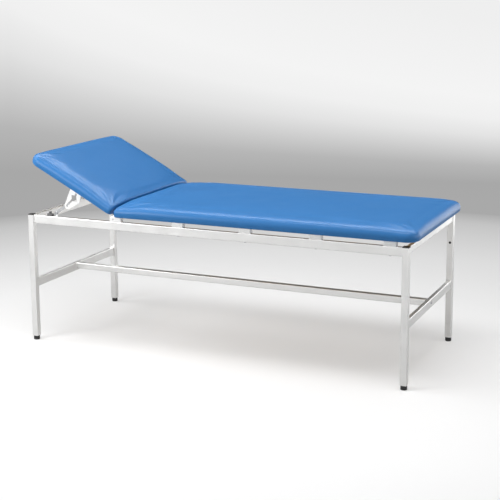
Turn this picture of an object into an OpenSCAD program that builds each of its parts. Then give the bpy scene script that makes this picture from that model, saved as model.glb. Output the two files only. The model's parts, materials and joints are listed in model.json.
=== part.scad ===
// Bariatric examination table with a raising head section.
// X runs from the head end to the foot end, Y from the near side to the far side, Z is up.
// The origin is on the floor, below the middle of the overall length and width.

/* [Frame] */
// How much further apart the leg centres stand along the table than the main pad is long
leg_spacing_x = 410; // [370:5:600]
// How much closer together the leg centres stand across the table than the pads are wide
leg_spacing_y = 46; // [20:2:120]
// Height of the open top of the leg tubes above the floor
frame_h = 625; // [450:5:800]
// Outer side of the square leg tube
leg_side = 30; // [25:1:45]
// Outer corner radius of every frame tube
tube_corner = 3; // [1.5:0.5:4]
// Wall of every frame tube
tube_wall = 2; // [1:0.5:2.5]
// Width of the flat tube used for rails and crossbars
bar_w = 20; // [15:1:24]
// Height of the side rails and of the head end top crossbar
rail_h = 40; // [30:1:60]
// How far the outer face of a side rail lies behind the outer face of the legs
rail_setback = 8; // [1:1:8]
// Height of the foot end top crossbar
foot_bar_h = 30; // [20:1:60]
// Height of the lower crossbars
low_bar_h = 40; // [30:1:60]
// Height of the top of the lower crossbars above the floor
low_bar_top = 305; // [150:5:400]
// Side of the square stretcher tube between the lower crossbars
stretcher_side = 30; // [20:1:38]

/* [Feet, caps and plugs] */
// Diameter of the round glide under each leg
glide_d = 30; // [24:1:40]
// Visible height of the glide
glide_h = 20; // [10:1:40]
// Length of a glide or cap spigot inside the leg tube
spigot_l = 18; // [8:1:40]
// Thickness of the cap on each leg
cap_h = 4; // [2:0.5:8]
// Distance of the accessory hole below the top of each foot end leg
plug_z = 133; // [60:1:140]
// Diameter of the plug's head
plug_head_d = 12; // [10:0.5:18]
// Diameter of the plug's stem
plug_stem_d = 9; // [5:0.5:9]
// How far the plug's head stands out of the leg
plug_head_h = 2; // [1:0.5:4]

/* [Upholstery] */
// Length of the fixed main pad
main_length = 1460; // [1200:10:1600]
// Length of the raising head pad
head_length = 500; // [390:5:600]
// Width of both pads
pad_width = 802; // [700:2:960]
// Full thickness of a pad at its crown, board included
pad_t = 62; // [50:1:90]
// Gap between the two pads when the head section lies flat
pad_gap = 28; // [28:1:60]
// How far the middle of that gap lies from the hinge axis towards the head end
seam_shift = 8; // [0:1:10]
// Corner radius of a pad's outer end seen from above
pad_corner = 58; // [30:1:70]
// Corner radius of a pad beside the gap
seam_corner = 14; // [12:1:20]
// Thickness of the plywood boards
board_t = 12; // [9:1:18]
// Thickness of the vinyl cover
vinyl_t = 1.2; // [0.8:0.1:2]
// How far the pad reaches past the legs at the foot end
foot_overhang = 36; // [0:1:60]

/* [Supports] */
// Height of the white blocks that carry the pad above the rails
block_h = 22; // [18:1:40]
// Length of a block along the rail
block_l = 58; // [40:1:80]
// Width of a block across the rail
block_w = 24; // [20:1:30]
// Distance from one block to the next
block_pitch = 336; // [200:2:350]
// Number of blocks on each rail beyond the hinge block, if the rail is long enough for them
block_count = 4; // [2:1:4]
// Shank diameter of the screws through the rails
rail_screw_d = 6; // [4:0.5:8]
// How far the middle of a hinge block lies from the hinge axis towards the foot end
hinge_block_shift = 12; // [0:1:12]
// Length of the rubber rest buffer along the rail
buffer_l = 30; // [20:1:40]

/* [Head section hinge] */
// Angle of the head section above flat, as it stands
rest_angle = 27.5; // [0:0.5:32.5]
// Top of the head section's travel above flat
top_angle = 32.5; // [28:0.5:32.5]
// Diameter of the hinge pins
hinge_pin_d = 8; // [5:0.5:10]
// Thickness of the hinge leaf and of every flat steel piece
plate_t = 3; // [2:0.5:3.5]
// Length of the hinge leaf flange under the head board
leaf_l = 70; // [50:1:120]
// Width of a flange across the table
flange_w = 30; // [20:1:40]

/* [Ratchet stay] */
// Distance from the hinge axis to the stay's pivot along the rail
stay_pivot_u = 327; // [322:1:336]
// Height of the stay's pivot above the hinge axis
stay_pivot_v = 2; // [0:0.5:3]
// Length of the stay arm between its pivot and its catch pin
stay_l = 93; // [88:1:98]
// Width of the stay arm
stay_w = 16; // [12:1:16]
// Slope of the stay arm when the head section lies flat
stay_flat_angle = -5.4; // [-6:0.1:-4.8]
// Degrees that the arm turns for each degree of the head section
stay_ratio = 1.5; // [1.4:0.05:1.6]
// Diameter of the stay's pivot rivet
rivet_d = 8; // [5:0.5:9]
// Diameter of the catch pin that runs in the bracket's window
catch_d = 7; // [5:0.5:8]
// Number of notches beside the window's channel
notch_count = 3; // [2:1:3]
// Degrees of the head section's travel from one notch to the next
notch_step = 5; // [4:0.5:6]

/* [Hidden] */
$fn = 48;

// Overrun of every cut
cut = 1;
// Gap between pieces that are pushed together
fit_gap = 0.2;
// Radial gap of a pin in its hole
pin_gap = 0.05;
// Gap between pieces that move past each other
move_gap = 0.4;
// Gap between a pad and what it comes down on
seat_gap = 0.5;

// Places that the frame's sizes give
mid_x = -foot_overhang / 2;
legs_apart_x = main_length + leg_spacing_x;
legs_apart_y = pad_width - leg_spacing_y;
head_leg_x = mid_x - legs_apart_x / 2;
foot_leg_x = mid_x + legs_apart_x / 2;
leg_y = legs_apart_y / 2;
leg_in_y = leg_y - leg_side / 2;
rail_out_y = leg_y + leg_side / 2 - rail_setback;
rail_in_y = rail_out_y - bar_w;
rail_y = rail_out_y - bar_w / 2;
pad_z = frame_h + block_h;
foot_end_x = foot_leg_x + leg_side / 2 + foot_overhang;
hinge_x = foot_end_x - main_length + seam_shift - pad_gap / 2;
hinge_z = frame_h + block_h / 2;
pad_rise = pad_z - hinge_z;
stretcher_z = low_bar_top - stretcher_side / 2;
stay_angle = stay_flat_angle + stay_ratio * rest_angle;

// Outline of a pad's edge, from its underside up over the roll to the crown: a wide roll along
// the sides and the outer end, and a tighter one beside the gap, where the pads lean apart
edge_depth = 48;
edge_in_shares = [0.19, 0.08, 0.025, 0, 0.035, 0.13, 0.29, 0.5, 0.75, 1];
seam_in_shares = [0.06, 0.025, 0.005, 0, 0.012, 0.055, 0.1, 0.14, 0.17, 0.21];
edge_up_shares = [0, 0.05, 0.16, 0.37, 0.5, 0.65, 0.77, 0.855, 0.91, 0.935];
crown_in_shares = [0.3, 0.65];
crown_up_shares = [0.965, 0.99];
edge_draw = 3;
corner_steps = 5;
side_steps = 5;
end_steps = 4;

// Screws
bolt_d = 8;
bolt_head_d = 15;
bolt_head_h = 5;
insert_l = 20;
screw_d = 5;
screw_head_d = 10;
screw_head_h = 2.5;
screw_grip = 9;
rail_screw_head_d = 12;
rail_screw_head_h = 3;
block_corner = 2;

// Layers of the stay, measured from the middle of the table
bracket_y = rail_in_y - move_gap - plate_t;
arm_y = bracket_y - move_gap - plate_t;
rivet_head_h = 2.5;
rivet_head_d = 14;
leaf_y = rail_out_y - block_w - move_gap - plate_t;
knuckle_r = 9;
stay_foot_l = 34;

// Where the catch pin is in the head section, when that stands at an angle above flat:
// distance from the hinge axis towards the head end, and height over the axis
function catch_at(angle) = let (
    turn = stay_flat_angle + stay_ratio * angle,
    x = -stay_pivot_u + stay_l * cos(turn),
    z = stay_pivot_v + stay_l * sin(turn)
) [z * sin(angle) - x * cos(angle), x * sin(angle) + z * cos(angle)];

// The head bracket: its lobe lies round the lower end of the catch pin's channel, and the other
// shares are of its top length and its height, from the middle of its top
bracket_l = 62;
bracket_shift = 3;
lobe_r = 18;
lobe_shares = [-0.27, 0.21];
lobe = catch_at(top_angle) + lobe_r * lobe_shares;
bracket_u = (catch_at(0)[0] + catch_at(top_angle)[0]) / 2 - bracket_shift;
bracket_h = pad_rise - lobe[1] + lobe_r;
elbow_r = 10;
elbow_shares = [-0.484, -0.4];
channel_gap = 1.2;
channel_steps = 14;
notch_depth = 2.6;
small_turn = 1;
window_shares = [[-0.19, -0.21], [-0.39, -0.43], [0, -0.56], [0.21, -0.32]];
leaf_screw_shares = [0.5, 0.85];
bracket_screw_shares = [-0.25, 0.25];

module mirror_far(far) {
    mirror([0, far ? 1 : 0, 0]) children();
}

module both_sides() {
    for (far = [false, true]) mirror_far(far) children();
}

module round_box(x, y, z, r) {
    translate([r - x / 2, -y / 2, 0]) cube([x - 2 * r, y, z]);
    translate([-x / 2, r - y / 2, 0]) cube([x, y - 2 * r, z]);
    for (sx = [-1, 1], sy = [-1, 1])
        translate([sx * (x / 2 - r), sy * (y / 2 - r), 0]) cylinder(r = r, h = z);
}

// A hollow tube standing on the origin
module tube(x, y, length) {
    difference() {
        round_box(x, y, length, tube_corner);
        translate([0, 0, -cut])
            round_box(x - 2 * tube_wall, y - 2 * tube_wall, length + 2 * cut, tube_corner / 2);
    }
}

// A hole or pin along Y, starting at y and growing towards the middle of the table
module along_y(d, y_from, y_to) {
    translate([0, y_from, 0]) rotate([-90, 0, 0]) cylinder(d = d, h = y_to - y_from);
}

// Turns a piece of the head section, drawn flat, up to its rest angle
module raised() {
    translate([hinge_x, 0, hinge_z]) rotate([0, rest_angle, 0]) translate([-hinge_x, 0, -hinge_z])
        children();
}

module frame_colour() {
    color("gainsboro") children();
}

module leg(x, side, drilled) {
    frame_colour() difference() {
        translate([x, side * leg_y, glide_h]) tube(leg_side, leg_side, frame_h - glide_h);
        if (drilled)
            translate([x, side * (leg_in_y + tube_wall / 2), frame_h - plug_z])
                along_y(plug_stem_d + 2 * fit_gap, -tube_wall, tube_wall);
    }
}

// Middles of the blocks that stand clear of the foot end legs
blocks_x = [for (i = [1:block_count]) let (x = hinge_x + i * block_pitch)
    if (x + block_l / 2 < foot_leg_x - leg_side / 2) x];
hinge_screw_x = hinge_x + hinge_block_shift + block_l / 4;

module side_rail() {
    frame_colour() difference() {
        translate([head_leg_x + leg_side / 2, -rail_y, frame_h - rail_h / 2])
            rotate([90, 0, 90]) tube(bar_w, rail_h, legs_apart_x - leg_side);
        for (x = concat([hinge_screw_x], blocks_x))
            translate([x, -rail_y, frame_h - rail_h - cut])
                cylinder(d = rail_screw_d + 2 * fit_gap, h = rail_h + 2 * cut);
    }
}

module crossbar(x, top, height) {
    frame_colour() translate([x, leg_in_y, top - height / 2])
        rotate([90, 0, 0]) tube(bar_w, height, 2 * leg_in_y);
}

module lower_crossbar(x) {
    difference() {
        crossbar(x, low_bar_top, low_bar_h);
        translate([x - bar_w, 0, stretcher_z]) rotate([0, 90, 0])
            cylinder(d = bolt_d + 2 * fit_gap, h = 2 * bar_w);
    }
}

stretcher_from = head_leg_x + bar_w / 2;
stretcher_to = foot_leg_x - bar_w / 2;

module stretcher() {
    frame_colour() translate([stretcher_from, 0, stretcher_z])
        rotate([90, 0, 90]) tube(stretcher_side, stretcher_side, stretcher_to - stretcher_from);
}

// Runs children at both ends of the stretcher, +X pointing out of the tube
module stretcher_ends() {
    translate([stretcher_to, 0, stretcher_z]) children();
    translate([stretcher_from, 0, stretcher_z]) rotate([0, 0, 180]) children();
}

module stretcher_inserts() {
    side = stretcher_side - 2 * tube_wall - 2 * fit_gap;
    color("dimgray") stretcher_ends() difference() {
        translate([-insert_l, 0, 0]) rotate([90, 0, 90]) round_box(side, side, insert_l, tube_corner / 2);
        translate([-insert_l - cut, 0, 0]) rotate([0, 90, 0])
            cylinder(d = bolt_d + 2 * pin_gap, h = insert_l + 2 * cut);
    }
}

module stretcher_bolts() {
    color("silver") stretcher_ends() {
        translate([bar_w, 0, 0]) rotate([0, 90, 0]) cylinder(d = bolt_head_d, h = bolt_head_h, $fn = 6);
        translate([-insert_l, 0, 0]) rotate([0, 90, 0]) cylinder(d = bolt_d, h = insert_l + bar_w);
    }
}

// Runs children at each leg, as seen from the floor
module at_legs() {
    for (x = [head_leg_x, foot_leg_x], y = [-leg_y, leg_y]) translate([x, y, 0]) children();
}

spigot_side = leg_side - 2 * tube_wall - 2 * fit_gap;
cap_edge = 1.5;

module leg_caps() {
    color("black") at_legs() {
        translate([0, 0, frame_h]) round_box(leg_side, leg_side, cap_h - cap_edge, tube_corner);
        translate([0, 0, frame_h + cap_h - cap_edge])
            round_box(leg_side - 2 * cap_edge, leg_side - 2 * cap_edge, cap_edge, tube_corner);
        translate([0, 0, frame_h - spigot_l])
            round_box(spigot_side, spigot_side, spigot_l, tube_corner / 2);
    }
}

module foot_glides() {
    sole_d = glide_d - 2 * cap_edge;
    color("black") at_legs() {
        cylinder(d = sole_d, h = glide_h);
        translate([0, 0, cap_edge]) cylinder(d = glide_d, h = glide_h - 2 * cap_edge);
        translate([0, 0, glide_h]) round_box(spigot_side, spigot_side, spigot_l, tube_corner / 2);
    }
}

module hole_plugs() {
    color("black") both_sides() translate([foot_leg_x, -leg_in_y, frame_h - plug_z]) {
        along_y(plug_head_d, 0, plug_head_h / 2);
        along_y(plug_head_d - plug_head_h, 0, plug_head_h);
        along_y(plug_stem_d, -tube_wall - plug_head_h, 0);
    }
}

module spacer_blocks() {
    color("white") for (x = blocks_x)
        translate([x, block_w / 2 - rail_out_y, frame_h]) difference() {
            round_box(block_l, block_w, block_h, block_corner);
            translate([0, rail_out_y - rail_y - block_w / 2, -cut])
                cylinder(d = rail_screw_d + 2 * fit_gap, h = block_h + 2 * cut);
        }
}

// The hinge block carries the main board on one half and stays clear of the head board on the other
module hinge_block() {
    color("white") difference() {
        translate([hinge_x + hinge_block_shift, block_w / 2 - rail_out_y, frame_h])
            round_box(block_l, block_w, block_h, block_corner);
        translate([hinge_x - block_l, -rail_out_y - cut, pad_z - seat_gap])
            cube([block_l, block_w + 2 * cut, block_h]);
        translate([hinge_x, 0, hinge_z])
            along_y(hinge_pin_d + 2 * pin_gap, -rail_out_y - cut, block_w - rail_out_y + cut);
        translate([hinge_screw_x, -rail_y, frame_h - cut])
            cylinder(d = rail_screw_d + 2 * pin_gap, h = block_h / 2 + cut);
    }
}

module rail_screw(x, reach) {
    translate([x, -rail_y, frame_h - rail_h - rail_screw_head_h])
        cylinder(d = rail_screw_head_d, h = rail_screw_head_h);
    translate([x, -rail_y, frame_h - rail_h])
        cylinder(d = rail_screw_d, h = rail_h + reach);
}

module rail_screws() {
    color("silver") both_sides() for (x = blocks_x) rail_screw(x, block_h + board_t - plate_t);
}

module hinge_block_screws() {
    color("silver") both_sides() rail_screw(hinge_screw_x, block_h / 2 - plate_t);
}

buffer_x = hinge_x - stay_pivot_u - rivet_head_d / 2 - plate_t;

module rest_buffers() {
    color("dimgray") both_sides() translate([buffer_x - buffer_l / 2, -rail_y, frame_h]) {
        round_box(buffer_l, bar_w - plate_t, block_h / 2, block_corner);
        cylinder(d = bar_w - 2 * plate_t, h = block_h - seat_gap);
    }
}

// A point at a share of the way between two values
function between(from, to, share) = from + (to - from) * share;

// One closed ring of a pad, a rounded rectangle whose long sides are drawn in between the corners.
// It runs from x0, beside the gap, to x1 at the outer end; each end has its own corner radius.
function pad_ring(x0, x1, half_w, r0, r1, z) = let (
    q = edge_draw,
    x_from = x0 + r0,
    x_to = x1 - r1,
    draw = [for (i = [0:side_steps]) q * (1 - pow(2 * i / side_steps - 1, 2))]
) concat(
    [for (i = [1:side_steps - 1]) [between(x_from, x_to, i / side_steps), -half_w + draw[i], z]],
    [for (i = [0:corner_steps]) let (a = i * 90 / corner_steps - 90)
        [x_to + r1 * cos(a), -half_w + r1 + r1 * sin(a), z]],
    [for (i = [1:end_steps - 1]) [x1, between(r1 - half_w, half_w - r1, i / end_steps), z]],
    [for (i = [0:corner_steps]) let (a = i * 90 / corner_steps)
        [x_to + r1 * cos(a), half_w - r1 + r1 * sin(a), z]],
    [for (i = [1:side_steps - 1]) [between(x_to, x_from, i / side_steps), half_w - draw[i], z]],
    [for (i = [0:corner_steps]) let (a = i * 90 / corner_steps + 90)
        [x_from + r0 * cos(a), half_w - r0 + r0 * sin(a), z]],
    [for (i = [1:end_steps - 1]) [x0, between(half_w - r0, r0 - half_w, i / end_steps), z]],
    [for (i = [0:corner_steps]) let (a = i * 90 / corner_steps + 180)
        [x_from + r0 * cos(a), -half_w + r0 + r0 * sin(a), z]]
);

ring_count = 2 * (side_steps - 1) + 2 * (end_steps - 1) + 4 * (corner_steps + 1);

// Insets and heights of a pad's rings, with the skin taken off
function pad_insets(in_shares, half, skin) = concat(
    [for (s = in_shares) skin + s * edge_depth],
    [for (s = crown_in_shares) edge_depth + s * (half - edge_depth)]
);
function pad_heights(skin, drop) = concat(
    [-drop],
    [for (i = [1:len(edge_up_shares) - 1]) edge_up_shares[i] * (pad_t - skin)],
    [for (s = crown_up_shares) s * (pad_t - skin)]
);

// The crowned body of a pad, its underside on z = 0 and its gap end towards the head end, less a
// skin; drop lowers the underside alone
module pad_form(length, skin, drop) {
    half = min(length, pad_width) / 2;
    insets = pad_insets(edge_in_shares, half, skin);
    seam_insets = pad_insets(seam_in_shares, half, skin);
    heights = pad_heights(skin, drop);
    last = len(insets) - 1;
    rings = [for (k = [0:last]) let (
            in = insets[k],
            r = max(pad_corner - in, pad_corner / 4))
        pad_ring(seam_insets[k] - length / 2, length / 2 - in, pad_width / 2 - in,
            seam_corner - skin, r, heights[k])];
    points = concat([for (ring = rings) each ring], [[0, 0, -drop], [0, 0, pad_t - skin]]);
    under = len(points) - 2;
    crown = len(points) - 1;
    n = ring_count;
    faces = concat(
        [for (k = [0:last - 1], i = [0:n - 1]) let (j = (i + 1) % n)
            each [
                [k * n + i, (k + 1) * n + j, k * n + j],
                [k * n + i, (k + 1) * n + i, (k + 1) * n + j]
            ]],
        [for (i = [0:n - 1]) [i, (i + 1) % n, under]],
        [for (i = [0:n - 1]) [last * n + (i + 1) % n, last * n + i, crown]]
    );
    polyhedron(points = points, faces = faces);
}

main_x = foot_end_x - main_length / 2;
head_x = hinge_x - seam_shift - pad_gap / 2 - head_length / 2;
board_inset = edge_in_shares[0] * edge_depth + vinyl_t + seat_gap;
board_seam_inset = seam_in_shares[0] * edge_depth + vinyl_t + seat_gap;

// Runs children, whose gap end is towards the head end, at the main pad's or the head pad's place
module at_pad(head) {
    translate([head ? head_x : main_x, 0, pad_z]) mirror([head ? 1 : 0, 0, 0]) children();
}

module pad_board(length) {
    l = length - board_inset - board_seam_inset;
    w = pad_width - 2 * board_inset - 2 * edge_draw;
    color("burlywood") translate([(board_seam_inset - board_inset) / 2, 0, 0]) {
        round_box(l, w, board_t, pad_corner);
        translate([-l / 4, 0, 0]) round_box(l / 2, w, board_t, seam_corner);
    }
}

module pad_foam(length) {
    color("khaki") difference() {
        pad_form(length, vinyl_t + fit_gap, 0);
        translate([-length, -pad_width, board_t - pad_t]) cube([2 * length, 2 * pad_width, pad_t]);
    }
}

module pad_cover(length) {
    color("steelblue") difference() {
        pad_form(length, 0, 0);
        pad_form(length, vinyl_t, cut);
    }
}

module main_board() {
    difference() {
        at_pad(false) pad_board(main_length);
        both_sides() for (x = blocks_x) translate([x, -rail_y, pad_z - cut])
            cylinder(d = rail_screw_d + 2 * pin_gap, h = board_t - plate_t + cut);
    }
}

// Places of the flange screws, measured from the hinge axis towards the head end
leaf_screws_u = leaf_l * leaf_screw_shares;
bracket_screws_u = [for (s = bracket_screw_shares) bracket_u + s * bracket_l];
leaf_screw_y = leaf_y - flange_w / 2;
bracket_screw_y = bracket_y - flange_w / 2;

// Runs children under the head board at every screw of a row, on both sides
module flange_screws(places_u, y) {
    both_sides() for (u = places_u) translate([hinge_x - u, -y, pad_z]) children();
}

module flange_screw() {
    translate([0, 0, -plate_t - screw_head_h]) cylinder(d = screw_head_d, h = screw_head_h);
    translate([0, 0, -plate_t]) cylinder(d = screw_d, h = plate_t + screw_grip);
}

module flange_hole(gap) {
    translate([0, 0, -plate_t - cut]) cylinder(d = screw_d + 2 * gap, h = plate_t + screw_grip + cut);
}

module head_board() {
    raised() difference() {
        at_pad(true) pad_board(head_length);
        flange_screws(leaf_screws_u, leaf_screw_y) flange_hole(pin_gap);
        flange_screws(bracket_screws_u, bracket_screw_y) flange_hole(pin_gap);
    }
}

module hinge_pins() {
    color("silver") both_sides() translate([hinge_x, 0, hinge_z]) {
        along_y(hinge_pin_d, -rail_out_y + plate_t, -leaf_y + move_gap);
        along_y(rivet_head_d, -leaf_y + move_gap, -leaf_y + move_gap + rivet_head_h);
    }
}

module hinge_leaf() {
    color("silver") raised() difference() {
        translate([hinge_x, 0, hinge_z]) {
            along_y(2 * knuckle_r, -leaf_y - plate_t, -leaf_y);
            translate([-leaf_l, -leaf_y - plate_t, 0]) cube([leaf_l - pad_gap / 2, plate_t, pad_rise]);
            translate([-pad_gap / 2, -leaf_y - plate_t, 0])
                cube([pad_gap / 2, plate_t, pad_rise - plate_t]);
            translate([-leaf_l, -leaf_y - plate_t, pad_rise - plate_t])
                cube([leaf_l - pad_gap / 2, flange_w + plate_t, plate_t]);
        }
        translate([hinge_x, 0, hinge_z])
            along_y(hinge_pin_d + 2 * pin_gap, -leaf_y - 2 * plate_t, -leaf_y + plate_t);
        flange_screws(leaf_screws_u, leaf_screw_y) flange_hole(fit_gap);
    }
}

module leaf_screws() {
    color("silver") raised() flange_screws(leaf_screws_u, leaf_screw_y) flange_screw();
}

stay_x = hinge_x - stay_pivot_u;
stay_z = hinge_z + stay_pivot_v;

module stay_lug() {
    color("silver") difference() {
        union() {
            translate([stay_x, 0, stay_z]) along_y(stay_w, -rail_in_y, -rail_in_y + plate_t);
            translate([stay_x - stay_w / 2, -rail_in_y, frame_h - rail_h / 2])
                cube([stay_w, plate_t, stay_z - frame_h + rail_h / 2]);
            translate([stay_x - stay_foot_l / 2, -rail_in_y, frame_h - rail_h + tube_corner])
                cube([stay_foot_l, plate_t, rail_h / 2]);
        }
        translate([stay_x, 0, stay_z])
            along_y(rivet_d + 2 * pin_gap, -rail_in_y - cut, -rail_in_y + plate_t + cut);
    }
}

module stay_rivets() {
    color("silver") both_sides() translate([stay_x, 0, stay_z]) {
        along_y(rivet_head_d, -rail_in_y - rivet_head_h, -rail_in_y);
        along_y(rivet_d, -rail_in_y, -arm_y + move_gap);
        along_y(rivet_head_d, -arm_y + move_gap, -arm_y + move_gap + rivet_head_h);
    }
}

// Runs children at the stay's pivot, X pointing along the arm towards the catch pin
module along_stay() {
    translate([stay_x, 0, stay_z]) rotate([0, -stay_angle, 0]) children();
}

arm_hole_shares = [1 / 3, 2 / 3];
arm_hole_d = 6;

module stay_arm() {
    color("darkgray") along_stay() difference() {
        union() {
            translate([0, -arm_y - plate_t, -stay_w / 2]) cube([stay_l, plate_t, stay_w]);
            along_y(stay_w, -arm_y - plate_t, -arm_y);
            translate([stay_l, 0, 0]) along_y(stay_w, -arm_y - plate_t, -arm_y);
        }
        along_y(rivet_d + 2 * pin_gap, -arm_y - plate_t - cut, -arm_y + cut);
        translate([stay_l, 0, 0]) along_y(catch_d + 2 * pin_gap, -arm_y - plate_t - cut, -arm_y + cut);
        for (s = arm_hole_shares) translate([s * stay_l, 0, 0])
            along_y(arm_hole_d, -arm_y - plate_t - cut, -arm_y + cut);
    }
}

module catch_pin() {
    color("dimgray") along_stay() translate([stay_l, 0, 0]) {
        along_y(catch_d, -bracket_y - plate_t, -arm_y);
        along_y(catch_d + plate_t, -arm_y, -arm_y + rivet_head_h);
    }
}

function channel_angle(i, n) = top_angle * i / n;

// A point beside the middle of the catch pin's channel, where the pin stands at an angle
function channel_side(angle, out) = let (
    p = catch_at(angle),
    ahead = catch_at(angle + small_turn) - catch_at(angle - small_turn),
    way = ahead / norm(ahead)
) p + out * [way[1], -way[0]];

// A flat shape of the head bracket, drawn with u and v from the hinge axis, through the plate
module bracket_layer(extra) {
    translate([hinge_x, -bracket_y + extra, hinge_z]) rotate([90, 0, 0])
        linear_extrude(plate_t + 2 * extra) mirror([1, 0]) children();
}

// A point on the head bracket, given as shares from the middle of its top
function bracket_point(share) = [bracket_u + share[0] * bracket_l, pad_rise + share[1] * bracket_h];

module bracket_window() {
    half = catch_d / 2 + channel_gap;
    n = channel_steps;
    polygon(concat(
        [for (i = [0:n]) channel_side(channel_angle(i, n), half)],
        [for (i = [n:-1:0]) channel_side(channel_angle(i, n), -half)]
    ));
    for (a = [0, top_angle]) translate(catch_at(a)) circle(r = half);
    for (i = [0:notch_count - 1])
        translate(channel_side(top_angle - i * notch_step, notch_depth)) circle(r = half);
    polygon([for (s = window_shares) bracket_point(s)]);
}

module head_bracket() {
    left = bracket_u + bracket_l / 2;
    right = bracket_u - bracket_l / 2;
    color("white") raised() difference() {
        union() {
            bracket_layer(0) hull() {
                translate(lobe) circle(r = lobe_r);
                translate(bracket_point(elbow_shares)) circle(r = elbow_r);
                translate([left - elbow_r, pad_rise - elbow_r]) square(elbow_r);
                translate([right, pad_rise - elbow_r]) square(elbow_r);
            }
            translate([hinge_x - left, -bracket_y - plate_t, pad_z - plate_t])
                cube([bracket_l, flange_w + plate_t, plate_t]);
        }
        bracket_layer(cut) bracket_window();
        flange_screws(bracket_screws_u, bracket_screw_y) flange_hole(fit_gap);
    }
}

module bracket_screws() {
    color("silver") raised() flange_screws(bracket_screws_u, bracket_screw_y) flange_screw();
}

leg(head_leg_x, -1, false);  // leg_head_near
leg(head_leg_x, 1, false);  // leg_head_far
leg(foot_leg_x, -1, true);  // leg_foot_near
leg(foot_leg_x, 1, true);  // leg_foot_far
side_rail();  // side_rail_near
mirror_far(true) side_rail();  // side_rail_far
crossbar(head_leg_x, frame_h, rail_h);  // top_crossbar_head
crossbar(foot_leg_x, frame_h, foot_bar_h);  // top_crossbar_foot
lower_crossbar(head_leg_x);  // lower_crossbar_head
lower_crossbar(foot_leg_x);  // lower_crossbar_foot
stretcher();
stretcher_inserts();
stretcher_bolts();
leg_caps();
foot_glides();
hole_plugs();
spacer_blocks();  // spacer_blocks_near
mirror_far(true) spacer_blocks();  // spacer_blocks_far
hinge_block();  // hinge_block_near
mirror_far(true) hinge_block();  // hinge_block_far
rail_screws();
hinge_block_screws();
rest_buffers();
main_board();
at_pad(false) pad_foam(main_length);  // main_foam
at_pad(false) pad_cover(main_length);  // main_cover
head_board();
raised() at_pad(true) pad_foam(head_length);  // head_foam
raised() at_pad(true) pad_cover(head_length);  // head_cover
hinge_pins();
hinge_leaf();  // hinge_leaf_near
mirror_far(true) hinge_leaf();  // hinge_leaf_far
leaf_screws();
stay_lug();  // stay_lug_near
mirror_far(true) stay_lug();  // stay_lug_far
stay_rivets();
stay_arm();  // stay_arm_near
mirror_far(true) stay_arm();  // stay_arm_far
catch_pin();  // catch_pin_near
mirror_far(true) catch_pin();  // catch_pin_far
head_bracket();  // head_bracket_near
mirror_far(true) head_bracket();  // head_bracket_far
bracket_screws();
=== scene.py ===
"""Looks of the wide examination table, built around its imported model.

Every length is in metres and in the part's own frame: +X points to the foot end, -Y to the near
side, Z up, and the origin lies on the floor below the middle of the table.
"""

import json
import logging
import math
from collections.abc import Mapping, Sequence
from dataclasses import dataclass, field, replace
from enum import Enum
from typing import Any

import bmesh
import bpy
import numpy as np
from mathutils import Matrix, Vector


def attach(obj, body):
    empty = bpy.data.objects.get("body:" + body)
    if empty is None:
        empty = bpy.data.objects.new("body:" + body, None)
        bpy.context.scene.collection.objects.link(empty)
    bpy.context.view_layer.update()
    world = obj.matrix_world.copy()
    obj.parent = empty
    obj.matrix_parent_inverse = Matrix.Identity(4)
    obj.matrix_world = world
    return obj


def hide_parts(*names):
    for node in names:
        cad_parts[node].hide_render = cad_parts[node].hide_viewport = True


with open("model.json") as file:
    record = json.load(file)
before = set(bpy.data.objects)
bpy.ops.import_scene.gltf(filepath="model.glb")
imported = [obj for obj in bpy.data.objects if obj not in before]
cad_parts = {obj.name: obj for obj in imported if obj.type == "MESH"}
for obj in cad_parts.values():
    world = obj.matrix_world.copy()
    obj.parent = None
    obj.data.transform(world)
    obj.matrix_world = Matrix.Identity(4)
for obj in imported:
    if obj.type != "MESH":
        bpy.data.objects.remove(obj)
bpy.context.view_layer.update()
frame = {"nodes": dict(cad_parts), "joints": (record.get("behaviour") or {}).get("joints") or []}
LOG = logging.getLogger("examination_table")

Point = tuple[float, float, float]
Colour = tuple[float, float, float, float]
Socket = bpy.types.NodeSocket

MM = 0.001
BOX_DIGITS = 6
STILL = 1e-9
HEAD_HINGE = next(joint for joint in frame["joints"] if joint["name"] == "head_hinge")
HINGE: Point = tuple(HEAD_HINGE["pos_m"])
RAISED_DEG = -HEAD_HINGE["range_deg"][0]
BLOCK_COUNT = 4
# Places along the flat head board that the hinge leaves and the brackets take up.
HEAD_FITTINGS_X = (-0.54, -0.80, -0.835, -0.87)
# Numbers of a Mix node's sockets: its two values and its two colours going in, and the mixed value
# and the mixed colour coming out.
VALUE_A, VALUE_B, MIX_A, MIX_B = 2, 3, 6, 7
VALUE_MIXED, MIXED = 0, 2


# Node and mesh tools


def linear(hex_text: str) -> Colour:
    """Turns an sRGB hex colour into linear RGBA.

    A channel c above 0.04045 becomes ((c + 0.055) / 1.055) to the power 2.4, and a lower one
    becomes c / 12.92.

    Args:
        hex_text: Six hex digits after a hash sign.

    Returns:
        The linear colour with an alpha of 1.
    """
    srgb = np.array([int(hex_text[i:i + 2], 16) / 255 for i in (1, 3, 5)])
    flat = np.where(srgb > 0.04045, ((srgb + 0.055) / 1.055) ** 2.4, srgb / 12.92)
    return (*(float(c) for c in flat), 1.0)


def per_metre(size_mm: float) -> float:
    """Scale of a texture whose pattern repeats about once in size_mm."""
    return 1000.0 / size_mm


def blank_tree(owner: bpy.types.Material | bpy.types.World) -> bpy.types.NodeTree:
    """Turns on the nodes of a material or a world, clears them and returns their tree."""
    owner.use_nodes = True
    owner.node_tree.nodes.clear()
    return owner.node_tree


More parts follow.
